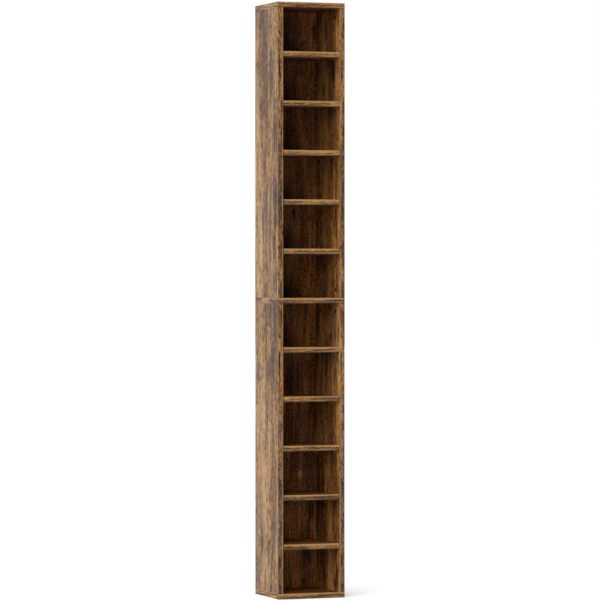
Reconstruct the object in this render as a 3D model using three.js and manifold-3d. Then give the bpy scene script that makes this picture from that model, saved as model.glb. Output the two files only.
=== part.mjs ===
// A tall open tower for CD and DVD cases, in boards with a rustic brown wood print.
// A full width middle board splits it into two bays, and each bay has five loose shelves on steel pins.
// Lengths are in millimetres. +Z is up, +X is to the viewer's right, and the open front faces -Y.
// The origin is on the floor, under the middle of the footprint.

import * as THREE from "three";
import { mergeVertices } from "three/addons/utils/BufferGeometryUtils.js";
import Module from "manifold-3d";

const wasm = await Module();
wasm.setup();

// The whole tower
const TOWER_WIDTH = 210;
const TOWER_DEPTH = 200;
const TOWER_HEIGHT = 1760;
const SHELVES_PER_BAY = 5;

// The board that panels and shelves are cut from, and the small round of its edge band
const BOARD = 16;
const EDGE_ROUND = 1;

// The thin back panels, let into grooves
const BACK_THICKNESS = 3;
const BACK_INSET = 5;
const GROOVE_DEPTH = 5;
const GROOVE_PLAY = 0.3;

// The lines that pins and cams are drilled on, and the pitch of what is drilled beside them
const DRILL_LINE = 37;
const HOLE_PITCH = 32;
const SPARE_HOLES = 1;
const BORE_PLAY = 0.3;

// The steel pins that the shelves rest on
const PIN_DIAMETER = 5;
const PIN_IN_HOLE = 8;
const PIN_HEAD = 7;
const PIN_NOSE = 0.6;
const COLLAR_DIAMETER = 7.5;
const COLLAR_THICKNESS = 1;

// The loose shelves, and how far they stay from the pins, the collars and the back
const SHELF_SEAT_PLAY = 0.3;
const SHELF_END_PLAY = 0.3;
const SHELF_REAR_PLAY = 1;

// The cam discs, with the cross that a screwdriver turns
const CAM_DIAMETER = 15;
const CAM_FROM_END = 24;
const CAM_RECESS = 0.4;
const CROSS_LENGTH = 9;
const CROSS_WIDTH = 1.8;
const CROSS_DEPTH = 1.6;

// The cam bolts and dowels that stand out of a side board's ends, and the board left under a blind bore
const BOLT_DIAMETER = 6;
const DOWEL_DIAMETER = 8;
const TIP_CHAMFER = 1;
const BORE_SKIN = 4.5;
const HALF_GAP = 0.3;

// How round shapes are divided into flats
const ROUND_STEPS = 2;
const BORE_SIDES = 8;
const CAM_SIDES = 16;

// How far a cut or a root runs past the surface it crosses, and how near two points are to be one
const OVERRUN = 2;
const WELD = 0.0005;

const QUARTER_TURN = Math.PI / 2;

// Sizes that follow from the ones above
const CLEAR_WIDTH = TOWER_WIDTH - 2 * BOARD;
const BAY_HEIGHT = (TOWER_HEIGHT - 3 * BOARD) / 2;
const CLEAR_HEIGHT = (BAY_HEIGHT - SHELVES_PER_BAY * BOARD) / (SHELVES_PER_BAY + 1);
const BACK_FACE = TOWER_DEPTH - BACK_INSET - BACK_THICKNESS;
const BACK_TONGUE = GROOVE_DEPTH - GROOVE_PLAY;
const GROOVE = [BACK_FACE - GROOVE_PLAY, BACK_FACE + BACK_THICKNESS + GROOVE_PLAY];
const GROOVE_REACH = CLEAR_WIDTH / 2 + GROOVE_DEPTH;
const SHELF_WIDTH = CLEAR_WIDTH - 2 * (COLLAR_THICKNESS + SHELF_END_PLAY);
const SHELF_DEPTH = BACK_FACE - SHELF_REAR_PLAY;
const BLIND_BORE = BOARD - BORE_SKIN;
const OUTER_GRIP = BLIND_BORE - BORE_PLAY;
const MIDDLE_GRIP = (BOARD - HALF_GAP) / 2;
const FITTING_X = (CLEAR_WIDTH + BOARD) / 2;

const HANDS = [
  { name: "left", side: -1 },
  { name: "right", side: 1 },
];
const DRILL_LINES = [
  { name: "front", y: DRILL_LINE },
  { name: "rear", y: TOWER_DEPTH - DRILL_LINE },
];
const END_FITTINGS = [
  { diameter: BOLT_DIAMETER, y: DRILL_LINE },
  { diameter: DOWEL_DIAMETER, y: DRILL_LINE + HOLE_PITCH },
  { diameter: DOWEL_DIAMETER, y: TOWER_DEPTH - DRILL_LINE - HOLE_PITCH },
  { diameter: BOLT_DIAMETER, y: TOWER_DEPTH - DRILL_LINE },
];

// The finishes
function printedBoard() {
  return new THREE.MeshStandardMaterial({ color: 0x86603f, roughness: 0.55, metalness: 0 });
}

function printedHardboard() {
  return new THREE.MeshStandardMaterial({ color: 0x5f452f, roughness: 0.7, metalness: 0 });
}

function bronzedSteel() {
  return new THREE.MeshStandardMaterial({ color: 0x4b3c30, roughness: 0.45, metalness: 0.9 });
}

// A closed geometry as a solid that can be cut and joined
function solidOf(geometry) {
  const bare = geometry.clone();
  bare.deleteAttribute("normal");
  bare.deleteAttribute("uv");
  const merged = mergeVertices(bare, WELD);
  const mesh = new wasm.Mesh({
    numProp: 3,
    vertProperties: merged.attributes.position.array,
    triVerts: new Uint32Array(merged.index.array),
  });
  return new wasm.Manifold(mesh);
}

// A named mesh made from a solid
function piece(name, solid, material) {
  const { vertProperties, triVerts } = solid.getMesh();
  const indexed = new THREE.BufferGeometry();
  indexed.setAttribute("position", new THREE.BufferAttribute(vertProperties, 3));
  indexed.setIndex(new THREE.BufferAttribute(triVerts, 1));
  const geometry = indexed.toNonIndexed();
  geometry.computeVertexNormals();
  const mesh = new THREE.Mesh(geometry, material);
  mesh.name = name;
  return mesh;
}

function cut(solid, tools) {
  return solid.subtract(wasm.Manifold.union(tools));
}

// A box that runs between two values along each axis, given in either order
function block([x0, x1], [y0, y1], [z0, z1]) {
  const box = new THREE.BoxGeometry(Math.abs(x1 - x0), Math.abs(y1 - y0), Math.abs(z1 - z0));
  box.translate((x0 + x1) / 2, (y0 + y1) / 2, (z0 + z1) / 2);
  return solidOf(box);
}

// A round bar about +Y, from one height up to another, with its upper end chamfered
function bar(diameter, from, to, chamfer, sides) {
  const radius = diameter / 2;
  const profile = [new THREE.Vector2(0, from), new THREE.Vector2(radius, from)];
  profile.push(new THREE.Vector2(radius, to - chamfer));
  if (chamfer > 0) profile.push(new THREE.Vector2(radius - chamfer, to));
  profile.push(new THREE.Vector2(0, to));
  return new THREE.LatheGeometry(profile, sides);
}

// A rectangular section whose corners are rounded on the left, where x is least, and also on the right if asked
function section([x0, x1], [y0, y1], bothEnds = false) {
  const round = EDGE_ROUND;
  const outline = new THREE.Shape();
  if (bothEnds) {
    outline.absarc(x1 - round, y0 + round, round, -QUARTER_TURN, 0);
    outline.absarc(x1 - round, y1 - round, round, 0, QUARTER_TURN);
  } else {
    outline.moveTo(x1, y0);
    outline.lineTo(x1, y1);
  }
  outline.absarc(x0 + round, y1 - round, round, QUARTER_TURN, 2 * QUARTER_TURN);
  outline.absarc(x0 + round, y0 + round, round, 2 * QUARTER_TURN, 3 * QUARTER_TURN);
  outline.closePath();
  return outline;
}

function extrude(outline, length) {
  const options = { depth: length, bevelEnabled: false, curveSegments: ROUND_STEPS };
  return new THREE.ExtrudeGeometry(outline, options);
}

// A board that lies flat, centred on X, with its front edge rounded and its underside at zero
function flatBoard(width, depth) {
  const board = extrude(section([0, depth], [0, BOARD]), width);
  board.rotateX(QUARTER_TURN);
  board.rotateZ(QUARTER_TURN);
  board.translate(-width / 2, 0, 0);
  return solidOf(board);
}

// A board that stands between two values of X, with its front corners rounded
function standingBoard([x0, x1], depth, height) {
  const board = extrude(section([0, depth], [-x1, -x0]), height);
  board.rotateZ(QUARTER_TURN);
  return solidOf(board);
}

// A full width board, rounded along its front edge, along both ends and at both front corners
function wideBoard() {
  const half = TOWER_WIDTH / 2;
  const ends = extrude(section([-half, half], [0, BOARD], true), TOWER_DEPTH);
  ends.rotateX(QUARTER_TURN);
  ends.translate(0, TOWER_DEPTH, 0);
  const corners = standingBoard([-half, half], TOWER_DEPTH, BOARD);
  return flatBoard(TOWER_WIDTH, TOWER_DEPTH).intersect(solidOf(ends)).intersect(corners);
}

// Where a shelf's underside and the pins below it are, from the floor of the bay
function shelfUnderside(index) {
  return index * (CLEAR_HEIGHT + BOARD) - BOARD;
}

function pinHeight(index) {
  return shelfUnderside(index) - SHELF_SEAT_PLAY - PIN_DIAMETER / 2;
}

function shelfIndexes() {
  return Array.from({ length: SHELVES_PER_BAY }, (_, i) => i + 1);
}

// A round hole bored into a side board's inner face
function sideBore(side, diameter, depth, y, z, sides) {
  const bore = bar(diameter, -depth, OVERRUN, 0, sides);
  bore.rotateZ(side * QUARTER_TURN);
  bore.translate(0, y, z);
  return solidOf(bore);
}

// The holes for the pins, each with spare ones above and below it to move its shelf to
function pinHoles(side) {
  const diameter = PIN_DIAMETER + 2 * BORE_PLAY;
  const depth = PIN_IN_HOLE + BORE_PLAY;
  const holes = [];
  for (const index of shelfIndexes()) {
    for (let row = -SPARE_HOLES; row <= SPARE_HOLES; row++) {
      const z = pinHeight(index) + row * HOLE_PITCH;
      holes.push(...DRILL_LINES.map(({ y }) => sideBore(side, diameter, depth, y, z, BORE_SIDES)));
    }
  }
  return holes;
}

// The face of a cam disc: a shallow round seat with a cross sunk in it
function camFace(side, y, z) {
  const reach = [-side * OVERRUN, side * (CAM_RECESS + CROSS_DEPTH)];
  const half = { long: CROSS_LENGTH / 2, short: CROSS_WIDTH / 2 };
  return [
    sideBore(side, CAM_DIAMETER, CAM_RECESS, y, z, CAM_SIDES),
    block(reach, [y - half.long, y + half.long], [z - half.short, z + half.short]),
    block(reach, [y - half.short, y + half.short], [z - half.long, z + half.long]),
  ];
}

function camFaces(side) {
  const heights = [CAM_FROM_END, BAY_HEIGHT - CAM_FROM_END];
  return heights.flatMap((z) => DRILL_LINES.flatMap(({ y }) => camFace(side, y, z)));
}

// The bolts and dowels that stand out of one end of a side board, up or down
function endFittings(side, z, grip, up) {
  return END_FITTINGS.map(({ diameter, y }) => {
    const fitting = bar(diameter, -OVERRUN, grip, TIP_CHAMFER, BORE_SIDES);
    fitting.rotateX(up * QUARTER_TURN);
    fitting.translate((side * BOARD) / 2, y, z);
    return solidOf(fitting);
  });
}

// A side board of one bay, with what it grips below and above it
function sideBoard(side, gripBelow, gripAbove) {
  const reach = [-side * OVERRUN, side * GROOVE_DEPTH];
  const groove = block(reach, GROOVE, [-OVERRUN, BAY_HEIGHT + OVERRUN]);
  const thickness = side > 0 ? [0, BOARD] : [-BOARD, 0];
  const board = standingBoard(thickness, TOWER_DEPTH, BAY_HEIGHT);
  return wasm.Manifold.union([
    cut(board, [groove, ...pinHoles(side), ...camFaces(side)]),
    ...endFittings(side, 0, gripBelow, -1),
    ...endFittings(side, BAY_HEIGHT, gripAbove, 1),
  ]);
}

// The bores for every bolt and dowel, between two heights of a full width board
function fittingBores(from, to) {
  return HANDS.flatMap(({ side }) =>
    END_FITTINGS.map(({ diameter, y }) => {
      const bore = bar(diameter + 2 * BORE_PLAY, from, to, 0, BORE_SIDES);
      bore.rotateX(QUARTER_TURN);
      bore.translate(side * FITTING_X, y, 0);
      return solidOf(bore);
    }),
  );
}

function boardGroove(from, to) {
  return block([-GROOVE_REACH, GROOVE_REACH], GROOVE, [from, to]);
}

// The three full width boards
function topPanel() {
  const groove = boardGroove(-OVERRUN, GROOVE_DEPTH);
  return cut(wideBoard(), [groove, ...fittingBores(-OVERRUN, BLIND_BORE)]);
}

function middlePanel() {
  const below = boardGroove(-OVERRUN, GROOVE_DEPTH);
  const above = boardGroove(BOARD - GROOVE_DEPTH, BOARD + OVERRUN);
  const bores = fittingBores(-OVERRUN, BOARD + OVERRUN);
  return cut(wideBoard(), [below, above, ...bores]);
}

function bottomPanel() {
  const groove = boardGroove(BOARD - GROOVE_DEPTH, BOARD + OVERRUN);
  const bores = fittingBores(BOARD - BLIND_BORE, BOARD + OVERRUN);
  return cut(wideBoard(), [groove, ...bores]);
}

// A back panel, with its tongues reaching into the grooves all round it
function backPanel() {
  const reach = CLEAR_WIDTH / 2 + BACK_TONGUE;
  const faces = [BACK_FACE, BACK_FACE + BACK_THICKNESS];
  return block([-reach, reach], faces, [-BACK_TONGUE, BAY_HEIGHT + BACK_TONGUE]);
}

// A pin about +Y, with its collar's back at zero and its head pointing up
function shelfPin() {
  const radius = PIN_DIAMETER / 2;
  const head = COLLAR_THICKNESS + PIN_HEAD;
  const profile = [
    new THREE.Vector2(0, -PIN_IN_HOLE),
    new THREE.Vector2(radius, -PIN_IN_HOLE),
    new THREE.Vector2(radius, 0),
    new THREE.Vector2(COLLAR_DIAMETER / 2, 0),
    new THREE.Vector2(COLLAR_DIAMETER / 2, COLLAR_THICKNESS),
    new THREE.Vector2(radius, COLLAR_THICKNESS),
    new THREE.Vector2(radius, head - PIN_NOSE),
    new THREE.Vector2(radius - PIN_NOSE, head),
    new THREE.Vector2(0, head),
  ];
  return solidOf(new THREE.LatheGeometry(profile, BORE_SIDES));
}

// The four pins of one shelf, with their collars against the side boards
function shelfPins(number, index) {
  return HANDS.flatMap((hand) =>
    DRILL_LINES.map((line) => {
      const name = `pin_${number}_${hand.name}_${line.name}`;
      const pin = piece(name, shelfPin(), bronzedSteel());
      pin.rotation.z = hand.side * QUARTER_TURN;
      pin.position.set((hand.side * CLEAR_WIDTH) / 2, line.y, pinHeight(index));
      return pin;
    }),
  );
}

// One bay: two side boards, a back panel and the shelves on their pins
function bay(name, gripBelow, gripAbove, shelvesBelow) {
  const group = new THREE.Group();
  for (const hand of HANDS) {
    const solid = sideBoard(hand.side, gripBelow, gripAbove);
    const board = piece(`${name}_${hand.name}_side`, solid, printedBoard());
    board.position.x = (hand.side * CLEAR_WIDTH) / 2;
    group.add(board);
  }
  group.add(piece(`${name}_back_panel`, backPanel(), printedHardboard()));
  for (const index of shelfIndexes()) {
    const number = String(shelvesBelow + index).padStart(2, "0");
    const shelf = piece(`shelf_${number}`, flatBoard(SHELF_WIDTH, SHELF_DEPTH), printedBoard());
    shelf.position.z = shelfUnderside(index);
    group.add(shelf, ...shelfPins(number, index));
  }
  return group;
}

// The tower, stacked up from the floor with the front edges in one plane
function tower() {
  const stack = new THREE.Group();
  const place = (part, z) => {
    part.position.z = z;
    stack.add(part);
  };
  place(piece("bottom_panel", bottomPanel(), printedBoard()), 0);
  place(bay("lower", OUTER_GRIP, MIDDLE_GRIP, 0), BOARD);
  place(piece("middle_panel", middlePanel(), printedBoard()), BOARD + BAY_HEIGHT);
  place(bay("upper", MIDDLE_GRIP, OUTER_GRIP, SHELVES_PER_BAY), 2 * BOARD + BAY_HEIGHT);
  place(piece("top_panel", topPanel(), printedBoard()), TOWER_HEIGHT - BOARD);
  stack.position.y = -TOWER_DEPTH / 2;
  const group = new THREE.Group();
  group.add(stack);
  return group;
}

const group = tower();
export default group;
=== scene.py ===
# A tall open tower for CD and DVD cases, in boards with a rustic brown wood print, on a pale studio floor.
# Lengths are in metres. +Z is up, +X is to the viewer's right, and the open front faces -Y.

import math

import bpy
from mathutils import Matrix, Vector


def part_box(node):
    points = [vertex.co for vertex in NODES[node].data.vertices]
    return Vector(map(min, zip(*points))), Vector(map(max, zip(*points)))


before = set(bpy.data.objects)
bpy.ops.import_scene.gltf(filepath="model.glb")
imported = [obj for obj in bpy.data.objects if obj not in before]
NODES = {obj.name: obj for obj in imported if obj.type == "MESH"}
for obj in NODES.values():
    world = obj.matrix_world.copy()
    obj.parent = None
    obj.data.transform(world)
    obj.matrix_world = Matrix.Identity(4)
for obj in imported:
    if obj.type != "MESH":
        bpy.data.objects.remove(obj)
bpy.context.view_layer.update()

# The camera: its place, its heading and dip in degrees, its sensor and lens in millimetres, and its clipping
CAMERA_PLACE = (-3.632, -9.766, 0.9847)
CAMERA_HEADING = -20.404
CAMERA_DIP = 0.5696
SENSOR = 36.0
LENS = 209.91
NEAR, FAR = 0.1, 100.0

# The floor, which lies a hair below the boards, and the light from all around, as it falls and as it is seen
FLOOR_HALF = 30.0
FLOOR_DROP = 0.0004
FLOOR_COLOUR = (0.80, 0.80, 0.80)
FLOOR_GLOW = 0.40
WHITE = (1.0, 1.0, 1.0)
AMBIENT = 0.24
SEEN_LIGHT = 1.0

# Soft lamps: degrees to the left of the front, degrees up, degrees wide, strength
LAMPS = {
    "key": (50, 33, 65, 2.95),
    "side": (140, 35, 60, 1.20),
    "fill": (-100, 35, 60, 0.45),
}

# How thick the boards are, where the open front lies, and how wide a rounded arris is
TOP, MIDDLE, BOTTOM = (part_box(name) for name in ("top_panel", "middle_panel", "bottom_panel"))
BOARD = TOP[1].z - TOP[0].z
FRONT = TOP[0].y
ARRIS = 0.001

# How many compartments a bay has, and how far apart they lie
SPACES = 6
PITCH = (MIDDLE[1].z - BOTTOM[1].z) / SPACES

# A face lies in a plane when it is this near to it. It faces an axis, or leans towards it, when its normal
# goes this far along it
NEAR_FACE = 0.00002
FACING = 0.9
LEANING = 0.1

# Corners this close are one point, and faces that turn by less than this cosine's angle are one curve
SAME_PLACE = 0.00001
SOFT_LIMIT = 0.64

# On the inner faces of the side boards: how far the cam discs are from the ends, how far the two lines of
# discs and bores are from the front, and how far round its centre each reaches
CAM_FROM_END = 0.024
CAM_LINES = (0.037, 0.163)
CAM_REACH = 0.0078
BORE_REACH = 0.0035
CAM_DEPTH = 0.003

# Wood seen through the print's brown stain, from pale to cracked, a near black for the painted shade low down
# at the left of each compartment on the back panels, grey wood, golden wood and knots
PALE = (0.430, 0.265, 0.108)
TAN = (0.272, 0.142, 0.050)
BROWN = (0.150, 0.068, 0.024)
DARK = (0.048, 0.020, 0.008)
CRACK = (0.012, 0.006, 0.004)
PAINTED_CORNER_SHADE = (0.003, 0.002, 0.001)
GREY_LIGHT = (0.190, 0.140, 0.108)
GREY_DARK = (0.045, 0.037, 0.034)
GREY_CRACK = (0.012, 0.010, 0.010)
GOLD = (0.395, 0.215, 0.060)
KNOTS = {"knot": CRACK, "eye": (0.520, 0.360, 0.210)}

# Painted shade: on the lower part of the level front edges, and towards the left of the back panels
LOW_PAINTED_SHADE = (0.062, 0.034, 0.024)
BACK_PAINTED_SHADE = (0.040, 0.029, 0.024)

# How light the print is: its middle, and what the darkest and the lightest end of a palette stand for
TONE_MIDDLE = 0.5
TONE_LOW = -0.50
TONE_HIGH = 1.00
WOOD_TONES = ((-0.40, CRACK), (0.08, DARK), (0.42, BROWN), (0.68, TAN), (1.00, PALE))
GREY_TONES = ((-0.40, GREY_CRACK), (0.15, GREY_DARK), (0.85, GREY_LIGHT))

# Pressed chips and fibres: places on each ramp and their colours. Bores show their chips darkened by a
# painted shade
CHIP_TONES = ((0.0, (0.30, 0.19, 0.10)), (0.5, (0.48, 0.34, 0.20)), (1.0, (0.62, 0.48, 0.31)))
FIBRE_TONES = ((0.30, (0.125, 0.066, 0.032)), (0.70, (0.235, 0.136, 0.070)))
FIBRE_CLOUD = (0.30, 0.185, 0.10)
CHIP_LIGHT = 1.0
BORE_PAINTED_SHADE = 0.16

# Metals: name, dull and bright colour, highest and lowest roughness, and the noise levels that they span
METALS = {
    "cam": ("lacquered_zinc", (0.060, 0.052, 0.045), (0.105, 0.092, 0.080), 0.60, 0.42),
    "pin": ("bronzed_steel", (0.200, 0.160, 0.125), (0.330, 0.275, 0.220), 0.46, 0.28),
}
METAL_SPAN = (0.3, 0.7)

# Noises of the print: waves per metre across and along the grain, the offset that sets each one apart, and
# its kind. A style gives the greys' waves across, and the waves of its spread, which has one kind for all
NOISES = {
    "sway": ((6.0, 2.2), 3.0, dict(detail=1.0)),
    "wave": ((34.0, 14.0), 17.0, dict(detail=2.0)),
    "streak": ((85.0, 5.5), 11.0, dict(detail=2.0, roughness=0.6)),
    "line": ((240.0, 2.6), 19.0, dict(detail=1.0)),
    "fleck": ((290.0, 46.0), 23.0, dict(detail=2.0, roughness=0.65)),
    "hair": ((1100.0, 70.0), 31.0, dict(detail=1.0)),
    "greys": ((1.0, 1.8), 41.0, dict(detail=3.0, roughness=0.6)),
    "gold": ((48.0, 3.6), 57.0, dict(detail=2.0)),
    "shade": ((100.0, 8.0), 67.0, dict(detail=3.0, roughness=0.6)),
    "hues": ((75.0, 9.0), 101.0, dict(detail=3.0, roughness=0.65, output="Color")),
    "growth": ((190.0, 6.0), 71.0, dict(detail=2.0)),
    "pore": ((2400.0, 110.0), 83.0, dict(detail=0.0)),
    "crack": ((230.0, 16.0), 73.0, dict(detail=3.0, roughness=0.65)),
    # The two arris noises break up the painted highlights and shade along the arrises
    "worn": ((60.0, 9.0), 91.0, dict(detail=2.0)),
    "worn_side": ((40.0, 7.0), 91.0, dict(detail=2.0)),
}
SPREAD = dict(offset=5.0, detail=1.0)

# Other noises: waves per metre along x, y and z, the offset and the kind
SOLID_NOISES = {
    "speck": ((900.0, 900.0, 900.0), 5.0, dict()),
    "fibre": ((500.0, 500.0, 500.0), 3.0, dict(detail=4.0, roughness=0.7)),
    "fibre_cloud": ((9.0, 9.0, 9.0), 13.0, dict(detail=3.0)),
    "metal_cloud": ((300.0, 300.0, 300.0), 3.0, dict(detail=3.0)),
    "scratch": ((2500.0, 260.0, 260.0), 19.0, dict(detail=1.0)),
}

# What a noise swings about, and the numbers of a mix node's colour sockets
NOISE_MIDDLE = 0.5
MIX_FIRST, MIX_SECOND, MIX_RESULT = 6, 7, 2

# Cells per metre: knots that come by chance, across and along the grain, and pressed chips
KNOT_CELLS = (12.0, 3.2, 0.0)
CHIP_CELLS = (420.0, 420.0, 420.0)

# Smooth steps: where each starts and ends on its own scale, and its values there
STEPS = {
    # Knots that come by chance: which cells hold one, and how far out its ring and its core reach
    "chosen": (0.70, 0.71, 0.0, 1.0),
    "ring": (0.0, 0.42, 1.0, 0.0),
    "core": (0.03, 0.10, 1.0, 0.0),
    # Drawn streaks and knots, from the rim inwards
    "drawn": (0.10, 0.60, 0.0, 1.0),
    "drawn_black": (0.10, 0.35, 0.0, 1.0),
    "drawn_knot": (0.10, 0.45, 0.0, 0.8),
    # Growth lines and the streaks that show them, pores, golden and shaded streaks
    "growth": (0.0, 0.028, 1.0, 0.0),
    "growth_place": (0.64, 0.40, 0.0, 1.0),
    "pore": (0.66, 0.74, 0.0, 1.0),
    "gold": (0.54, 0.68, 0.0, 1.0),
    "gold_tones": (0.20, 0.75, 0.0, 1.0),
    "shade": (0.56, 0.68, 0.0, 1.0),
    # Painted highlights and shade on the level front edges, by the height above their lower arris
    "crest": (0.0128, 0.0170, 0.0, 1.0),
    "low_painted_shade": (0.005, 0.014, 0.58, 0.0),
    "line_start": (0.0018, 0.0030, 0.0, 1.0),
    "line_end": (0.0042, 0.0060, 1.0, 0.0),
    "line_highlight_jitter": (0.42, 0.58, 0.0, 0.5),
    "low_arris_shade": (0.0004, 0.0022, 0.6, 0.0),
    # Painted highlights and shade on the upright front edges, by the distance from their outer arris
    "inner_start": (0.0116, 0.0130, 0.0, 0.45),
    "inner_end": (0.0146, 0.0156, 1.0, 0.2),
    "inner_highlight_jitter": (0.25, 0.50, 0.0, 1.0),
    "outer_arris": (0.0, 0.003, 0.20, 0.0),
    "outer_shade_jitter": (0.60, 0.40, 0.0, 1.0),
    # The painted highlight on the outer sides, by the distance from the front
    "side_front": (0.006, 0.016, 0.42, 0.0),
    # Painted shade on the back panels: by height, by x, by the height in a compartment, and by the distance
    # from the left
    "bay": (0.30, 0.95, 0.10, 1.0),
    "left": (-0.020, 0.070, 1.0, 0.0),
    "corner": (0.0, 0.62, 0.95, 0.04),
    "right_end": (0.178, 0.183, 0.0, 0.45),
    # Raw board, fibre and metal
    "speck": (0.55, 0.75, 0.0, 0.5),
    "fibre_cloud": (0.35, 0.7, 0.0, 0.35),
    "fibre_rough": (0.3, 0.7, 0.85, 0.7),
    "print_rough": (0.2, 0.9, 0.62, 0.48),
}
CRACK_STEP = 0.04

# How far the noises and knots bend the grain, in metres, and how far round a drawn knot it is bent
WAVE_BEND = 0.007
SWAY_BEND = 0.034
RING_BEND = 0.018
RING_SIZE = 3

# How far noise shifts the edges of the painted highlight and shade bands by the arrises, in metres
LEVEL_BAND_JITTER = 0.006
SIDE_BAND_JITTER = 0.014

# How much of each mark's colour shows where it is strongest, the painted shade at the left of the back panels
# among them, how deep the marks go, how much gold is in the painted highlights on the arrises, and how high
# flecks and hairs rise
SHARES = {
    "ring": 0.35, "core": 0.88, "growth": 0.62, "pore": 0.55, "crack": 0.90, "black": 0.90, "left": 0.45,
}
DEPTHS = {"crack": 0.8, "pore": 0.3, "growth": 0.3}
CREST_GOLD = 0.40
SIDE_GOLD = 0.45
FIBRE_RISE = 0.5

# How high a bump of one stands, in metres, and how the plain boards shine
PRINT_RELIEF = 0.00022
RAW_RELIEF = 0.0003
METAL_RELIEF = 0.00003
RAW_ROUGHNESS = 0.9
RAW_SPECULAR = 0.2
FIBRE_SPECULAR = 0.25

# How strongly the streaks and flecks break up the rims of what is drawn
BREAK_STREAK = 0.9
BREAK_FLECK = 0.6

# How much each kind of drawn streak lightens or darkens the print; gold only colours it
DRAWN_TONES = (("black", -0.80), ("dark", -0.38), ("brown", -0.16), ("grey", -0.10), ("pale", 0.22))

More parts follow.
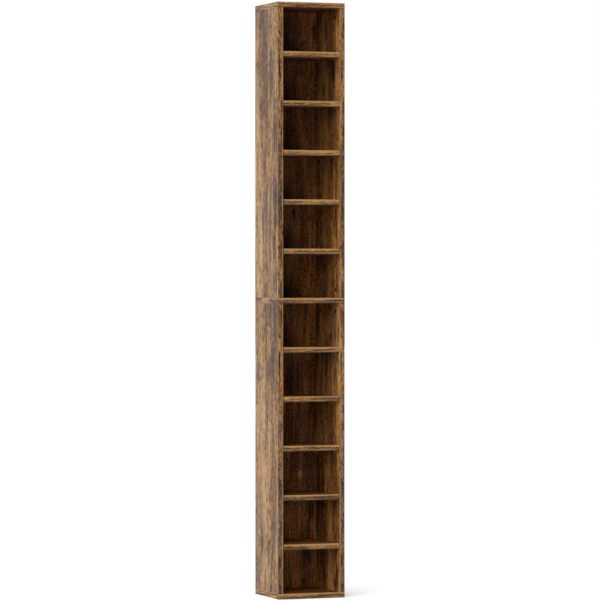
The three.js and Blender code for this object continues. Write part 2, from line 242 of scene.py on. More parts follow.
# Streaks and knots drawn on the sheets, by kind, in millimetres along the tower's own axes: centre across the
# grain, centre along it, half width, half length. Upright front edges measure across from their left arris
MM_IN_METRE = 1000
DRAWN = {
    "upper_outer": {
        "grey": (
            (28, 1720, 50, 45), (18, 1640, 30, 110), (13, 1565, 18, 60), (-42, 1570, 26, 90),
            (-82, 1460, 22, 32), (-74, 1328, 26, 18), (12, 1110, 40, 150), (-74, 1185, 36, 90),
            (-74, 930, 24, 50),
        ),
        "dark": (
            (-41, 1550, 24, 110), (-76, 1385, 26, 75), (-78, 1185, 22, 45), (-78, 1115, 20, 36),
            (-66, 1040, 16, 70),
        ),
        "gold": ((-80, 1620, 26, 170), (60, 1215, 30, 130)),
        "pale": ((78, 1450, 24, 240), (62, 1010, 36, 200), (18, 1380, 24, 80)),
        "brown": (
            (10, 1275, 9, 70), (-72, 1165, 30, 120), (-74, 930, 26, 60), (14, 1080, 42, 190),
            (-30, 1100, 26, 100), (-26, 1690, 26, 60), (40, 1590, 24, 70), (-30, 1015, 20, 50),
        ),
    },
    "lower_outer": {
        "grey": (
            (-46, 858, 66, 30), (-55, 735, 22, 150), (62, 665, 50, 36), (-10, 660, 14, 40),
            (-70, 205, 34, 80), (50, 175, 30, 40), (76, 65, 34, 60),
        ),
        "brown": ((-56, 700, 14, 80), (-78, 300, 26, 140), (72, 120, 26, 60)),
        "gold": ((-84, 710, 16, 40), (48, 755, 44, 80), (40, 350, 40, 100), (-28, 160, 30, 170)),
        "pale": (
            (45, 500, 80, 110), (30, 330, 90, 200), (2, 90, 22, 60), (-84, 110, 20, 100),
            (-26, 420, 34, 190), (-60, 560, 40, 110), (-24, 180, 34, 170), (-24, 60, 30, 90),
            (-20, 750, 26, 90), (-26, 610, 26, 70), (-84, 640, 18, 120),
        ),
    },
    "upper_front": {
        "brown": (
            (8, 1674, 9, 40), (4, 1515, 5, 30), (8, 1280, 10, 50), (8, 1165, 12, 60), (8, 1110, 10, 40),
        ),
        "pale": ((8, 1611, 9, 7), (12, 1540, 3, 30), (9, 1430, 5, 30), (6, 965, 7, 45)),
        "dark": (
            (3, 1597, 4, 12), (13, 1388, 3, 22), (8, 1335, 7, 11), (11, 1215, 5, 40), (12, 1040, 3, 26),
            (14, 1000, 2, 22),
        ),
        "black": ((4, 1560, 3, 34),),
        "gold": ((8, 1492, 5, 17), (4, 1030, 3, 12)),
        "grey": ((8, 1175, 13, 95), (8, 915, 10, 30)),
    },
    "lower_front": {
        "gold": ((8, 810, 5, 32), (11, 640, 4, 48)),
        "brown": ((6, 775, 6, 18), (4, 655, 4, 30), (8, 310, 11, 70), (8, 240, 9, 45)),
        "pale": ((9, 744, 9, 7), (7, 535, 5, 32), (8, 455, 7, 22), (6, 90, 6, 42)),
        "black": ((4, 706, 4, 28),),
        "dark": ((14, 560, 3, 22), (12, 510, 4, 18), (11, 135, 3, 22)),
        "grey": ((12, 390, 5, 50), (8, 290, 13, 115), (9, 180, 6, 40)),
    },
    "top_panel_left": {
        "grey": ((1747, 45, 12, 45),),
        "dark": ((1750, 80, 8, 35),),
        "gold": ((1748, -60, 8, 40),),
    },
    "middle_panel_left": {
        "grey": ((882, 70, 12, 40),),
        "gold": ((884, 5, 7, 40),),
        "pale": ((884, 0, 9, 60), (884, -70, 9, 40)),
    },
    "top_panel_front": {
        "gold": ((1755, -45, 5, 65), (1756, 55, 5, 60)),
        "dark": ((1749, 0, 4, 90),),
    },
    "bottom_panel_left": {
        "gold": ((10, -40, 7, 50),),
        "dark": ((4, 40, 5, 50),),
    },
    "upper_inner": {
        "dark": ((-89, 1705, 7, 25), (-77, 925, 12, 40), (14, 1685, 17, 55), (-66, 1100, 22, 58)),
        "black": ((-41, 1572, 6, 60), (-52, 1545, 6, 80)),
        "gold": (
            (-83, 1515, 14, 75), (-7, 1535, 8, 45), (-75, 1655, 19, 30), (-7, 1015, 21, 105),
            (-79, 1230, 18, 155),
        ),
        "pale": ((60, 1420, 22, 130), (60, 1100, 22, 320), (-10, 1388, 20, 55)),
        "brown": ((48, 1680, 24, 60),),
    },
    "lower_inner": {
        "dark": ((-57, 805, 9, 60), (-58, 660, 14, 35), (-93, 185, 6, 25), (-79, 60, 13, 45)),
        "gold": ((-17, 805, 19, 60), (-77, 235, 12, 40), (-83, 435, 14, 150), (-15, 215, 20, 60)),
        "pale": ((60, 660, 22, 320), (60, 200, 22, 300), (-10, 805, 22, 60), (-66, 226, 16, 55)),
    },
    "upper_back_panel_print": {
        "dark": (
            (80, 1685, 10, 55), (-10, 1685, 7, 55), (16, 1140, 10, 25), (0, 1450, 16, 20),
            (2, 1392, 22, 52),
        ),
        "gold": ((44, 1685, 11, 50), (55, 1115, 10, 55), (34, 1530, 11, 45), (71, 950, 19, 65)),
        "grey": ((72, 1550, 11, 55),),
        "knot": ((14, 1142, 8, 17),),
    },
    "lower_back_panel_print": {
        "dark": ((87, 805, 5, 65), (72, 245, 11, 35)),
        "gold": ((40, 805, 37, 60), (36, 355, 12, 25), (45, 205, 19, 60), (61, 55, 32, 55)),
        "grey": ((7, 665, 22, 60), (5, 85, 18, 45), (20, 440, 62, 125)),
        "eye": ((35, 357, 8, 17),),
        "pale": ((30, 80, 70, 85), (-5, 226, 24, 60), (50, 226, 12, 60), (20, 740, 62, 120)),
        "brown": ((54, 517, 10, 50),),
    },
}


class Graph:
    """The nodes of one material, made and linked by plain calls."""

    def __init__(self, name):
        self.material = bpy.data.materials.new(name)
        self.material.use_nodes = True
        self.tree = self.material.node_tree
        self.tree.nodes.clear()

    def node(self, kind, **settings):
        made = self.tree.nodes.new(kind)
        for name, value in settings.items():
            setattr(made, name, value)
        return made

    def feed(self, socket, value):
        if isinstance(value, bpy.types.NodeSocket):
            self.tree.links.new(value, socket)
        elif isinstance(value, tuple) and socket.type == "RGBA":
            socket.default_value = (*value[:3], 1.0)
        else:
            socket.default_value = value

    def math(self, operation, *values):
        made = self.node("ShaderNodeMath", operation=operation)
        for socket, value in zip(made.inputs, values):
            self.feed(socket, value)
        return made.outputs[0]

    def vector(self, operation, *values):
        made = self.node("ShaderNodeVectorMath", operation=operation)
        for socket, value in zip(made.inputs, values):
            self.feed(socket, value)
        return made.outputs["Vector"]

    def attribute(self, name):
        return self.node("ShaderNodeAttribute", attribute_name=name).outputs["Vector"]

    def object_place(self):
        return self.node("ShaderNodeTexCoord").outputs["Object"]

    def split(self, vector):
        made = self.node("ShaderNodeSeparateXYZ")
        self.feed(made.inputs[0], vector)
        return made.outputs

    def join(self, x, y, z):
        made = self.node("ShaderNodeCombineXYZ")
        for socket, value in zip(made.inputs, (x, y, z)):
            self.feed(socket, value)
        return made.outputs[0]

    def noise(self, vector, scale, offset, detail=2.0, roughness=0.5, output=0):
        """Smooth noise about one half, with its own number of waves per metre along each axis."""
        flat = len(scale) == 2
        made = self.node("ShaderNodeTexNoise", noise_dimensions="2D" if flat else "3D")
        scale = (*scale, 0.0) if flat else scale
        place = self.vector("MULTIPLY_ADD", vector, scale, (offset, offset, offset))
        self.feed(made.inputs["Vector"], place)
        made.inputs["Scale"].default_value = 1.0
        made.inputs["Detail"].default_value = detail
        made.inputs["Roughness"].default_value = roughness
        return made.outputs[output]

    def solid_noise(self, vector, name):
        scale, offset, kind = SOLID_NOISES[name]
        return self.noise(vector, scale, offset, **kind)

    def grain_noise(self, vector, name, fine=1.0):
        """One of the print's noises, wider across the grain where fine is below one."""
        (across, along), offset, kind = NOISES[name]
        return self.noise(vector, (across * fine, along), offset, **kind)

    def cells(self, vector, scale, dimensions):
        """A cell pattern's own colours, and the distance from each cell's centre."""
        made = self.node("ShaderNodeTexVoronoi", voronoi_dimensions=dimensions)
        self.feed(made.inputs["Vector"], self.vector("MULTIPLY", vector, scale))
        made.inputs["Scale"].default_value = 1.0
        return made.outputs["Color"], made.outputs["Distance"]

    def stretch(self, value, low, high, start=0.0, end=1.0, smooth=True):
        """The value turned from low to high into start to end, and held at either end."""
        kind = "SMOOTHSTEP" if smooth else "LINEAR"
        made = self.node("ShaderNodeMapRange", interpolation_type=kind)
        for socket, given in zip(made.inputs, (value, low, high, start, end)):
            self.feed(socket, given)
        return made.outputs[0]

    def step(self, value, name, most=1.0):
        """One of the named steps, with its values there times the most that it may reach."""
        low, high, start, end = STEPS[name]
        return self.stretch(value, low, high, start * most, end * most)

    def mix(self, share, first, second, how="MIX"):
        made = self.node("ShaderNodeMix", data_type="RGBA", blend_type=how)
        self.feed(made.inputs["Factor"], share)
        self.feed(made.inputs[MIX_FIRST], first)
        self.feed(made.inputs[MIX_SECOND], second)
        return made.outputs[MIX_RESULT]

    def lay(self, colour, mark, name, over):
        """The colour with another laid over it where a mark is, as much as this mark shows."""
        return self.mix(self.math("MULTIPLY", mark, SHARES[name]), colour, over)

    def ramp(self, value, stops):
        made = self.node("ShaderNodeValToRGB")
        elements = made.color_ramp.elements
        while len(elements) < len(stops):
            elements.new(0.5)
        for element, (position, colour) in zip(elements, stops):
            element.position = position
            element.color = (*colour, 1.0)
        self.feed(made.inputs[0], value)
        return made.outputs[0]

    def spot(self, vector, centre, half):
        """One at the centre of an ellipse in the print, falling to zero at its rim."""
        place = self.node("ShaderNodeMapping", vector_type="TEXTURE")
        self.feed(place.inputs["Vector"], vector)
        place.inputs["Location"].default_value = (*centre, 0.0)
        place.inputs["Scale"].default_value = (*half, 1.0)
        made = self.node("ShaderNodeTexGradient", gradient_type="SPHERICAL")
        self.feed(made.inputs[0], place.outputs[0])
        return made.outputs[1]

    def spots(self, vector, places):
        """The highest of several ellipses, each given by its centre and half sizes, or zero."""
        total = 0.0
        for centre, half in places:
            total = self.math("MAXIMUM", self.spot(vector, centre, half), total)
        return total

    def finish(self, colour, roughness, height, relief, **plain):
        """A shader with this colour and roughness, and with a bump of this relief in metres."""
        bump = self.node("ShaderNodeBump")
        bump.inputs["Strength"].default_value = 1.0
        bump.inputs["Distance"].default_value = relief
        self.feed(bump.inputs["Height"], height)
        shader = self.node("ShaderNodeBsdfPrincipled")
        self.feed(shader.inputs["Base Color"], colour)
        self.feed(shader.inputs["Roughness"], roughness)
        self.feed(shader.inputs["Normal"], bump.outputs[0])
        for name, value in plain.items():
            shader.inputs[name.replace("_", " ")].default_value = value
        output = self.node("ShaderNodeOutputMaterial")
        self.tree.links.new(shader.outputs[0], output.inputs[0])
        return self.material


class Lines:
    """Where a point lies in the print: along its bent grain, from its arris, and by its knots."""

    def __init__(self, bent, waved, place, rim, ring, core):
        self.bent, self.waved, self.place, self.rim = bent, waved, place, rim
        self.ring, self.core = ring, core


def grain_lines(g, spots):
    """The print's coordinates, bent so that the grain wanders and flows round knots."""
    place = g.attribute("print")
    across, along, rim = g.split(place)
    cell, distance = g.cells(place, KNOT_CELLS, "2D")
    chosen = g.step(g.split(cell)[0], "chosen")
    ring = g.math("MULTIPLY", chosen, g.step(distance, "ring"))
    core = g.math("MULTIPLY", chosen, g.step(distance, "core"))
    around = [(centre, (half[0] * RING_SIZE, half[1] * RING_SIZE)) for centre, half in spots.get("knot", ())]
    ring = g.math("MAXIMUM", ring, g.spots(place, around))
    waved = g.math("MULTIPLY_ADD", g.grain_noise(place, "wave"), WAVE_BEND, across)
    bent = g.math("MULTIPLY_ADD", g.grain_noise(place, "sway"), SWAY_BEND, waved)
    bent = g.math("MULTIPLY_ADD", ring, RING_BEND, bent)
    waved = g.math("ADD", waved, -WAVE_BEND / 2)
    return Lines(g.join(bent, along, 0.0), g.join(waved, along, 0.0), place, rim, ring, core)


def add_part(g, total, part, weight):
    """The total with this noise added, as a swing either side of nothing."""
    return g.math("MULTIPLY_ADD", part, weight, g.math("ADD", total, -weight / 2))


def print_tone(g, at, look):
    """How light the print is, from wide bands down to single fibres, and its streaks, flecks and hairs."""
    streak = g.grain_noise(at.bent, "streak", look["fine"])
    line = g.grain_noise(at.bent, "line", look["fine"])
    fleck = g.grain_noise(at.bent, "fleck", look["fine"])
    hair = g.grain_noise(at.bent, "hair")
    middle = TONE_MIDDLE + look["lift"]
    tone = middle
    for name, place in (("broad", at.bent), ("mottled", at.place)):
        across, along, weight = look[name]
        tone = add_part(g, tone, g.noise(place, (across, along), **SPREAD), weight)
    for part, weight in zip((streak, line, fleck, hair), look["weights"]):
        tone = add_part(g, tone, part, weight)
    tone = g.math("MULTIPLY_ADD", tone, look["swing"], middle * (1 - look["swing"]))
    return tone, streak, fleck, hair


def drawn(g, at, spots, kind, broken):
    """How strongly the sheet's drawn streaks of one kind show, with rims that break up along the grain."""
    if kind not in spots:
        return 0.0
    reach = g.math("ADD", g.spots(at.waved, spots[kind]), broken)
    return g.step(reach, "drawn_black" if kind == "black" else "drawn")


def tinted(colour, tint):
    return tuple(part * share for part, share in zip(colour, tint))


def shades(tones, tint):
    """A palette as the stops of a ramp over the whole range of tones, in this tint."""
    span = TONE_HIGH - TONE_LOW
    return [((tone - TONE_LOW) / span, tinted(colour, tint)) for tone, colour in tones]


def print_stain(g, at, look, spots, tone, broken):
    """The wood's colour at each tone, with grey and golden streaks."""
    tint = look["tint"]
    level = g.stretch(tone, TONE_LOW, TONE_HIGH, smooth=False)
    colour = g.ramp(level, shades(WOOD_TONES, tint))
    across, low, high, most = look["greys"]
    grey = g.stretch(g.grain_noise(at.bent, "greys", across), low, high)
    grey = g.math("MAXIMUM", grey, drawn(g, at, spots, "grey", broken))
    colour = g.mix(g.math("MULTIPLY", grey, most), colour, g.ramp(level, shades(GREY_TONES, tint)))
    gold = g.step(g.grain_noise(at.bent, "gold"), "gold")
    gold = g.math("MAXIMUM", gold, drawn(g, at, spots, "gold", broken))
    gold = g.math("MULTIPLY", gold, g.step(tone, "gold_tones"))
    return g.mix(g.math("MULTIPLY", gold, look["golden"]), colour, tinted(GOLD, tint))


def print_hues(g, at, look, colour):
    """The stained wood with shaded streaks, and with a hue that wanders."""
    shade = g.grain_noise(at.bent, "shade", look["fine"])
    colour = g.mix(g.step(shade, "shade", look["shade"]), colour, DARK)
    spread = look["hues"]
    hues = g.grain_noise(at.bent, "hues", look["fine"])
    hues = g.vector("MULTIPLY_ADD", hues, spread, tuple(1 - part / 2 for part in spread))
    return g.mix(1.0, colour, hues, "MULTIPLY")


def print_marks(g, at, look, colour, streak):
    """Dark growth lines, pores and cracks laid over the print, and how deep they go."""
    ridge = g.math("ADD", g.grain_noise(at.bent, "growth", look["fine"]), -NOISE_MIDDLE)
    growth = g.step(g.math("ABSOLUTE", ridge), "growth")
    growth = g.math("MULTIPLY", growth, g.step(streak, "growth_place"))
    colour = g.lay(colour, growth, "growth", DARK)
    pore = g.step(g.grain_noise(at.bent, "pore"), "pore")
    colour = g.lay(colour, pore, "pore", DARK)
    crack = g.grain_noise(at.bent, "crack", look["fine"])
    crack = g.stretch(crack, look["cracks"], look["cracks"] + CRACK_STEP)
    colour = g.lay(colour, crack, "crack", CRACK)
    depth = g.math("MULTIPLY_ADD", crack, DEPTHS["crack"], g.math("MULTIPLY", pore, DEPTHS["pore"]))
    return colour, g.math("MULTIPLY_ADD", growth, DEPTHS["growth"], depth)


def print_knots(g, at, spots, colour):
    """Dark knots that come by chance, and the dark and pale ones that are drawn on the sheet."""
    colour = g.lay(colour, at.ring, "ring", BROWN)
    colour = g.lay(colour, at.core, "core", CRACK)
    for kind, knot in KNOTS.items():
        for centre, half in spots.get(kind, ()):
            colour = g.mix(g.step(g.spot(at.waved, centre, half), "drawn_knot"), colour, knot)
    return colour


def print_colour(g, at, look, spots):
    """The colour of the rustic print, how high its grain stands, and its tone."""
    tone, streak, fleck, hair = print_tone(g, at, look)
    broken = add_part(g, add_part(g, 0.0, streak, BREAK_STREAK), fleck, BREAK_FLECK)
    for kind, weight in DRAWN_TONES:
        tone = g.math("MULTIPLY_ADD", drawn(g, at, spots, kind, broken), weight, tone)
    colour = print_stain(g, at, look, spots, tone, broken)
    colour = print_hues(g, at, look, colour)
    colour = g.lay(colour, drawn(g, at, spots, "black", broken), "black", CRACK)
    colour, depth = print_marks(g, at, look, colour, streak)
    colour = print_knots(g, at, spots, colour)
    height = g.math("MULTIPLY_ADD", fleck, FIBRE_RISE, g.math("MULTIPLY", hair, FIBRE_RISE))
    return colour, g.math("SUBTRACT", height, depth), tone


def printed_board(name, style, spots):
    """The print on a board; a style's rim paints highlights or shade on it by the distance from one arris."""
    g = Graph(name)
    look = {**COMMON, **style}
    at = grain_lines(g, spots)
    colour, height, tone = print_colour(g, at, look, spots)
    if look["rim"] is not None:
        colour = look["rim"](g, at, look, colour)
    roughness = g.step(tone, "print_rough")
    return g.finish(colour, roughness, height, PRINT_RELIEF, Specular_IOR_Level=look["specular"])


def level_painted_light(g, at, look, colour):
    """A level front edge: a golden painted highlight on the top arris, a painted highlight line low down, and
    painted shade towards the bottom and on the lower arris.
    """
    worn = g.grain_noise(at.place, "worn")
    high = g.math("MULTIPLY_ADD", worn, LEVEL_BAND_JITTER, at.rim)
    colour = g.mix(g.step(high, "crest", look["crest"]), colour, g.mix(CREST_GOLD, PALE, GOLD))
    colour = g.mix(g.step(high, "low_painted_shade"), colour, LOW_PAINTED_SHADE)
    line = g.math("MULTIPLY", g.step(at.rim, "line_start"), g.step(at.rim, "line_end"))
    colour = g.mix(g.math("MULTIPLY", line, g.step(worn, "line_highlight_jitter")), colour, PALE)
    return g.mix(g.step(at.rim, "low_arris_shade"), colour, DARK)


def upright_painted_light(g, at, look, colour):
    """An upright front edge: a painted highlight line down the inner arris and painted shade along the outer
    one.
    """
    worn = g.grain_noise(at.place, "worn")
    inner = g.math("MULTIPLY", g.step(at.rim, "inner_start"), g.step(at.rim, "inner_end"))
    colour = g.mix(g.math("MULTIPLY", inner, g.step(worn, "inner_highlight_jitter")), colour, PALE)
    outer = g.math("MULTIPLY", g.step(at.rim, "outer_arris"), g.step(worn, "outer_shade_jitter"))
    return g.mix(outer, colour, DARK)


def back_painted_shade(g, at, look, colour):
    """A back panel with painted shade: duller towards the left and darkest low down there in each
    compartment, but less so in the lower bay, and a painted shade in the corner at the right-hand end."""
    x, y, z = g.split(g.object_place())
    left = g.math("MULTIPLY", g.step(x, "left"), g.step(z, "bay"))
    colour = g.lay(colour, left, "left", BACK_PAINTED_SHADE)
    height = g.math("FRACT", g.math("MULTIPLY_ADD", z, 1 / PITCH, -BOTTOM[1].z / PITCH))
    colour = g.mix(g.math("MULTIPLY", left, g.step(height, "corner")), colour, PAINTED_CORNER_SHADE)
    return g.mix(g.step(at.rim, "right_end"), colour, CRACK)


def side_painted_highlight(g, at, look, colour):
    """An outer side: a painted highlight, lighter and golden, by the front arris."""
    worn = g.grain_noise(at.place, "worn_side")
    near_front = g.step(g.math("MULTIPLY_ADD", worn, SIDE_BAND_JITTER, at.rim), "side_front")
    return g.mix(near_front, colour, g.mix(SIDE_GOLD, PALE, GOLD))


def raw_board(name, light):
    """Pressed chips, seen inside bores and grooves and on hidden ends; light scales their colours, and in the
    bores it darkens them as a painted shade.
    """
    g = Graph(name)
    tint = (light, light, light)
    place = g.object_place()
    chip = g.split(g.cells(place, CHIP_CELLS, "3D")[0])[0]
    colour = g.ramp(chip, [(stop, tinted(chips, tint)) for stop, chips in CHIP_TONES])
    colour = g.mix(g.step(g.solid_noise(place, "speck"), "speck"), colour, tinted(BROWN, tint))
    return g.finish(colour, RAW_ROUGHNESS, chip, RAW_RELIEF, Specular_IOR_Level=RAW_SPECULAR)


def hardboard(name):
    """The plain rear of the back panels: pressed brown fibre."""
    g = Graph(name)
    place = g.object_place()
    fibre = g.solid_noise(place, "fibre")
    cloud = g.step(g.solid_noise(place, "fibre_cloud"), "fibre_cloud")
    colour = g.mix(cloud, g.ramp(fibre, FIBRE_TONES), FIBRE_CLOUD)
    roughness = g.step(fibre, "fibre_rough")
    return g.finish(colour, roughness, fibre, RAW_RELIEF, Specular_IOR_Level=FIBRE_SPECULAR)


def metal(name, dull, bright, rough, smooth):
    """Plated or lacquered steel with faint drawing marks, between two colours and two roughnesses."""
    g = Graph(name)
    place = g.object_place()
    low, high = METAL_SPAN
    scratch = g.solid_noise(place, "scratch")
    colour = g.ramp(g.solid_noise(place, "metal_cloud"), [(low, dull), (high, bright)])
    roughness = g.stretch(scratch, low, high, smooth, rough)
    return g.finish(colour, roughness, scratch, METAL_RELIEF, Metallic=1.0)


# How each kind of printed face looks. broad is (waves across, waves along, weight) of its widest bands, and
# mottled is the same for its spots. weights are those of its streaks, lines, flecks and hairs, and fine is
# how closely these lie. lift makes it lighter, and a swing below one brings its tones nearer to the middle.
# cracks is the level above which it is cracked, shade is how dark its shaded streaks get, and golden is how
# golden its golden streaks get. greys is (waves across, where grey streaks begin, where they are full, how
# grey they get). hues is how far its red, green and blue wander, and tint is how much of each it keeps. rim
# paints highlights and shade on it by its arrises, or on a back panel paints shade at its left and in its
# corners, crest is how golden the painted highlight on the top arris of a level edge is, and specular is how
# much it shines
COMMON = dict(
    broad=(24.0, 1.9, 1.4), mottled=(200.0, 110.0, 0.6), weights=(1.2, 0.8, 1.3, 0.7), fine=1.0, lift=0.0,
    swing=1.0, cracks=0.63, shade=0.70, golden=0.72, greys=(26.0, 0.57, 0.65, 0.65), hues=(0.55, 0.40, 0.90),
    tint=(1.0, 1.0, 1.0), rim=None, crest=0.80, specular=0.25)
UPRIGHT = dict(
    broad=(30.0, 5.0, 1.0), mottled=(200.0, 95.0, 1.2), weights=(0.9, 0.7, 1.7, 0.9), lift=0.04,
    cracks=0.61, golden=0.36, hues=(0.6, 0.5, 1.0), tint=(1.04, 0.91, 0.86), rim=upright_painted_light, specular=0.18)
LEVEL = dict(
    broad=(40.0, 2.6, 1.5), mottled=(300.0, 170.0, 1.5), weights=(1.2, 0.9, 2.0, 0.8), lift=0.06,
    cracks=0.61, tint=(1.07, 0.91, 0.70), rim=level_painted_light)
STYLES = {
    "outer": dict(
        broad=(10.0, 1.0, 1.2), mottled=(95.0, 70.0, 0.7), weights=(0.8, 0.8, 1.2, 0.9), fine=0.55, lift=0.01,
        swing=0.85, golden=0.45, greys=(12.0, 0.58, 0.68, 0.55), rim=side_painted_highlight),
    "upright": UPRIGHT,
    "lower_front": dict(UPRIGHT, lift=0.12, tint=(1.04, 0.93, 0.90)),
    "level": LEVEL,
    "top_panel_front": dict(LEVEL, lift=0.13, tint=(1.10, 0.87, 0.64), crest=0.50),
    "middle_panel_front": dict(LEVEL, lift=0.09),
    "bottom_panel_front": dict(LEVEL, lift=0.18),
    "plain": dict(
        broad=(40.0, 2.6, 1.4), mottled=(280.0, 120.0, 0.8), lift=0.04, greys=(26.0, 0.52, 0.62, 0.75),
        tint=(1.0, 0.97, 0.94)),
    "inner": dict(
        broad=(16.0, 1.9, 1.5), mottled=(200.0, 150.0, 0.9), weights=(1.2, 0.9, 1.6, 0.7), fine=0.8,
        lift=0.07, tint=(1.24, 1.00, 0.74), specular=0.1),
    # The decks' tint is darkened as a painted shade, as if the upper and lower faces of the boards lay in
    # shadow
    "deck": dict(tint=(0.76, 0.53, 0.34), specular=0.1),
    "top_panel_upper": dict(broad=(13.0, 1.4, 1.1), tint=(1.0, 0.98, 0.95)),
    "back": dict(
        broad=(14.0, 1.6, 1.6), mottled=(260.0, 150.0, 1.2), weights=(0.7, 1.0, 1.0, 0.7), lift=0.03,
        cracks=0.66, shade=0.45, greys=(18.0, 0.55, 0.64, 0.65), tint=(1.20, 0.84, 0.66), rim=back_painted_shade,
        specular=0.05),
}


def plain_materials():
    made = {kind: metal(*metals) for kind, metals in METALS.items()}
    made["raw"] = raw_board("raw_chipboard", CHIP_LIGHT)
    # Bores: the chips darkened as a painted shade
    made["bore"] = raw_board("bored_chipboard", BORE_PAINTED_SHADE)
    made["hardboard"] = hardboard("plain_hardboard")
    return made


def near(value, target):
    return abs(value - target) < NEAR_FACE


def by_cam(centre):
    """Whether a point of a side board lies in the recess of a cam disc."""
    ends = (BOTTOM[1].z, MIDDLE[0].z, MIDDLE[1].z, TOP[0].z)
    off = min(abs(abs(centre.z - end) - CAM_FROM_END) for end in ends)
    aside = min(abs(centre.y - FRONT - line) for line in CAM_LINES)
    return math.hypot(off, aside) < CAM_REACH


def side_face(normal, centre, low, high):
    """What a face of a side board is: an outer or inner face, its front or rear edge, or raw board."""
    outward = -1 if (low.x + high.x) < 0 else 1
    outer_x, inner_x = (low.x, high.x) if outward < 0 else (high.x, low.x)
    if centre.y < low.y + ARRIS and abs(normal.z) < LEANING:
        return "front"
    if near(centre.x, outer_x) and normal.x * outward > FACING:
        return "outer"
    if near(centre.x, inner_x) and normal.x * outward < -FACING:
        return "inner"
    if near(centre.y, high.y) and normal.y > FACING:
        return "rear"
    if abs(centre.x - inner_x) < CAM_DEPTH and by_cam(centre):
        return "cam"
    if min(abs(centre.y - FRONT - line) for line in CAM_LINES) < BORE_REACH:
        return "bore"
    return "raw"


def flat_face(normal, centre, low, high):
    """What a face of a shelf or full width board is."""
    if centre.y < low.y + ARRIS and normal.y < -LEANING:
        return "front"
    if centre.x < low.x + ARRIS and normal.x < -LEANING:
        return "left"
    if centre.x > high.x - ARRIS and normal.x > LEANING:
        return "right"
    if near(centre.z, high.z) and normal.z > FACING:
        return "upper"
    if near(centre.z, low.z) and normal.z < -FACING:
        return "lower"
    if near(centre.y, high.y) and normal.y > FACING:
        return "rear"
    return "raw"


def back_face(normal):
    return "print" if normal.y < -FACING else "hardboard"


# For each kind of face: how it looks, and which axes run across and along its grain
SIDE_KINDS = {
    "outer": ("outer", 1, 2),
    "inner": ("inner", 1, 2),
    "front": ("upright", 0, 2),
    "rear": ("upright", 0, 2),
    "cam": ("cam", 1, 2),
    "bore": ("bore", 1, 2),
    "raw": ("raw", 1, 2),
}
FLAT_KINDS = {
    "upper": ("deck", 1, 0),
    "lower": ("deck", 1, 0),
    "front": ("level", 2, 0),
    "left": ("plain", 2, 1),
    "right": ("plain", 2, 1),
    "rear": ("level", 2, 0),
    "raw": ("raw", 1, 0),
}
BACK_KINDS = {"print": ("back", 0, 2), "hardboard": ("hardboard", 0, 2)}

# Every face is cut from its own sheet of print: how far apart the sheets lie, and how many fit in a row
SHEET_ACROSS = 0.31
SHEET_ALONG = 1.03
SHEETS_IN_ROW = 14
SHEETS = []


def sheet_name(board, kind):
    """The sheet that a face is cut from; the two sides of a bay share theirs."""
    if board.endswith("_side") and kind in ("outer", "inner", "front"):
        return board.split("_")[0] + "_" + kind
    return board + "_" + kind


def sheet_start(sheet):
    """Where a sheet starts in the print, in the order in which the sheets are first used."""
    if sheet not in SHEETS:
        SHEETS.append(sheet)
    row, place = divmod(SHEETS.index(sheet), SHEETS_IN_ROW)
    return place * SHEET_ACROSS, row * SHEET_ALONG


def spots_on(sheet):
    """What is drawn on a sheet, by kind, as (centre, half size) in the print's own metres."""
    left, foot = sheet_start(sheet)
    spots = {}
    for kind, places in DRAWN.get(sheet, {}).items():
        metres = [[size / MM_IN_METRE for size in place] for place in places]
        spots[kind] = [((across + left, along + foot), (wide, tall)) for across, along, wide, tall in metres]
    return spots


def material_for(made, style, sheet):
    """The material of one kind of face, with its own copy where the sheet has a style or is drawn on."""
    if style not in STYLES:
        return made[style]
    name = "print_" + (sheet if sheet in DRAWN or sheet in STYLES else style)
    if name not in made:
        made[name] = printed_board(name, STYLES.get(sheet, STYLES[style]), spots_on(sheet))
    return made[name]


def rim_of(kind, low, high):
    """How far a point is from the arris that the face's painted highlights and shade are measured from."""
    full_width = high.x - low.x > BOARD * 2
    if kind == "print":
        return lambda point: point.x - low.x
    if kind in ("front", "rear") and full_width:
        return lambda point: point.z - low.z
    if kind in ("front", "rear") and high.x < 0:
        return lambda point: point.x - low.x
    if kind in ("front", "rear"):
        return lambda point: high.x - point.x
    return lambda point: point.y - FRONT


def dress(node, kind_of, kinds, made):
    """Gives each face of a board its material and its place in the print."""
    mesh = node.data
    mesh.materials.clear()
    order = list(kinds)
    for kind in order:
        mesh.materials.append(material_for(made, kinds[kind][0], sheet_name(node.name, kind)))
    low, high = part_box(node.name)
    starts = {kind: sheet_start(sheet_name(node.name, kind)) for kind in order}
    if "outer" in starts:
        # What is drawn on an upright front edge is measured from the board's own left arris
        across, along = starts["front"]
        starts["front"] = (across - low.x, along)
    rims = {kind: rim_of(kind, low, high) for kind in order}
    places = mesh.attributes.new("print", "FLOAT_VECTOR", "CORNER")
    for face in mesh.polygons:
        kind = kind_of(face.normal, face.center)
        across, along = kinds[kind][1:]
        face.material_index = order.index(kind)
        start, rim = starts[kind], rims[kind]
        for corner in face.loop_indices:
            point = mesh.vertices[mesh.loops[corner].vertex_index].co
            places.data[corner].vector = (point[across] + start[0], point[along] + start[1], rim(point))


def dress_boards(made):
    for name, node in sorted(NODES.items()):
        low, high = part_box(name)
        if name.endswith("_side"):
            dress(node, lambda normal, centre: side_face(normal, centre, low, high), SIDE_KINDS, made)
        elif name.endswith("back_panel"):
            dress(node, lambda normal, centre: back_face(normal), BACK_KINDS, made)
        elif name.endswith("_panel") or name.startswith("shelf_"):
            dress(node, lambda normal, centre: flat_face(normal, centre, low, high), FLAT_KINDS, made)


def dress_pins(made):
    for name, node in NODES.items():
        if name.startswith("pin_"):
            node.data.materials.clear()
            node.data.materials.append(made["pin"])


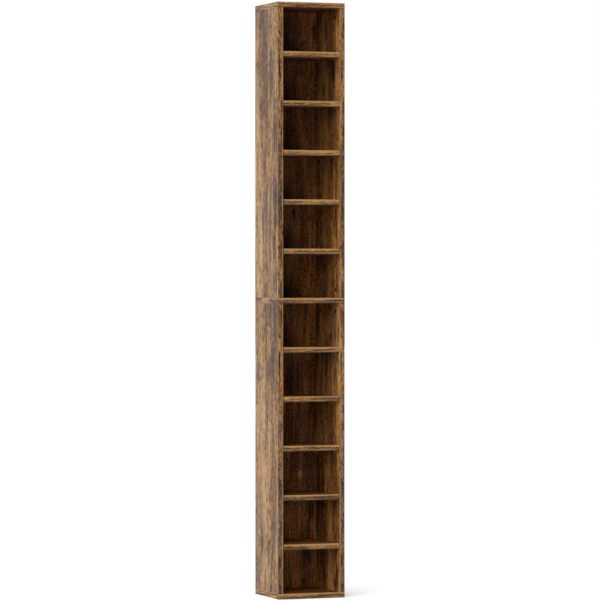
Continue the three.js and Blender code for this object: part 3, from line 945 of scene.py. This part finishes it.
def soften(node):
    """Shades round arrises and pins as curves, while the flat faces beside them stay flat."""
    mesh = node.data
    places = [tuple(round(part / SAME_PLACE) for part in vertex.co) for vertex in mesh.vertices]
    meeting = {}
    for face in mesh.polygons:
        for corner in face.vertices:
            meeting.setdefault(places[corner], []).append((face.normal.copy(), face.area))
    normals = []
    for face in mesh.polygons:
        for corner in face.vertices:
            total = Vector((0, 0, 0))
            for normal, area in meeting[places[corner]]:
                if normal.dot(face.normal) > SOFT_LIMIT:
                    total += normal * area
            normals.append(total.normalized())
    mesh.polygons.foreach_set("use_smooth", [True] * len(mesh.polygons))
    mesh.normals_split_custom_set(normals)


def make_camera():
    camera = bpy.data.objects.new("camera", bpy.data.cameras.new("camera"))
    bpy.context.scene.collection.objects.link(camera)
    camera.data.sensor_width = SENSOR
    camera.data.lens = LENS
    camera.data.clip_start, camera.data.clip_end = NEAR, FAR
    camera.location = CAMERA_PLACE
    camera.rotation_euler = (math.radians(90 - CAMERA_DIP), 0, math.radians(CAMERA_HEADING))
    bpy.context.scene.camera = camera


def seen_directly(tree):
    """One for rays from the camera, off glossy surfaces and through glass, and zero for the rest."""
    path = tree.nodes.new("ShaderNodeLightPath")
    total = path.outputs["Is Camera Ray"]
    for name in ("Is Glossy Ray", "Is Transmission Ray"):
        add = tree.nodes.new("ShaderNodeMath")
        add.operation = "ADD"
        add.use_clamp = True
        tree.links.new(total, add.inputs[0])
        tree.links.new(path.outputs[name], add.inputs[1])
        total = add.outputs[0]
    return total


def white_background(tree, strength):
    made = tree.nodes.new("ShaderNodeBackground")
    made.inputs[0].default_value = (*WHITE, 1)
    made.inputs[1].default_value = strength
    return made.outputs[0]


def make_world():
    """Pure white where it is seen, and a dimmer even light on everything else."""
    world = bpy.data.worlds.new("studio")
    world.use_nodes = True
    bpy.context.scene.world = world
    tree = world.node_tree
    tree.nodes.clear()
    both = tree.nodes.new("ShaderNodeMixShader")
    tree.links.new(seen_directly(tree), both.inputs[0])
    tree.links.new(white_background(tree, AMBIENT), both.inputs[1])
    tree.links.new(white_background(tree, SEEN_LIGHT), both.inputs[2])
    output = tree.nodes.new("ShaderNodeOutputWorld")
    tree.links.new(both.outputs[0], output.inputs[0])


def floor_material():
    """Matt and pale, with a glow where it is seen that leaves the shadow on it."""
    material = bpy.data.materials.new("studio_floor")
    material.use_nodes = True
    tree = material.node_tree
    tree.nodes.clear()
    matt = tree.nodes.new("ShaderNodeBsdfDiffuse")
    matt.inputs[0].default_value = (*FLOOR_COLOUR, 1)
    glow = tree.nodes.new("ShaderNodeEmission")
    strength = tree.nodes.new("ShaderNodeMath")
    strength.operation = "MULTIPLY"
    tree.links.new(seen_directly(tree), strength.inputs[0])
    strength.inputs[1].default_value = FLOOR_GLOW
    tree.links.new(strength.outputs[0], glow.inputs[1])
    both = tree.nodes.new("ShaderNodeAddShader")
    tree.links.new(matt.outputs[0], both.inputs[0])
    tree.links.new(glow.outputs[0], both.inputs[1])
    output = tree.nodes.new("ShaderNodeOutputMaterial")
    tree.links.new(both.outputs[0], output.inputs[0])
    return material


def make_floor():
    half = FLOOR_HALF
    corners = [(-half, -half, 0), (half, -half, 0), (half, half, 0), (-half, half, 0)]
    mesh = bpy.data.meshes.new("studio_floor")
    mesh.from_pydata(corners, [], [(0, 1, 2, 3)])
    mesh.materials.append(floor_material())
    floor = bpy.data.objects.new("studio_floor", mesh)
    floor.location.z = -FLOOR_DROP
    bpy.context.scene.collection.objects.link(floor)


def make_lamp(name, turn, rise, width, strength):
    data = bpy.data.lights.new(name, "SUN")
    data.energy = strength
    data.angle = math.radians(width)
    lamp = bpy.data.objects.new(name, data)
    turn, rise = math.radians(turn), math.radians(rise)
    flat = math.cos(rise)
    towards = Vector((-math.sin(turn) * flat, -math.cos(turn) * flat, math.sin(rise)))
    lamp.rotation_mode = "QUATERNION"
    lamp.rotation_quaternion = towards.to_track_quat("Z", "Y")
    bpy.context.scene.collection.objects.link(lamp)


def make_studio():
    make_camera()
    make_world()
    make_floor()
    for name, lamp in LAMPS.items():
        make_lamp(name, *lamp)
    bpy.context.scene.view_settings.view_transform = "Standard"


make_studio()
materials = plain_materials()
dress_boards(materials)
dress_pins(materials)
for node in NODES.values():
    soften(node)
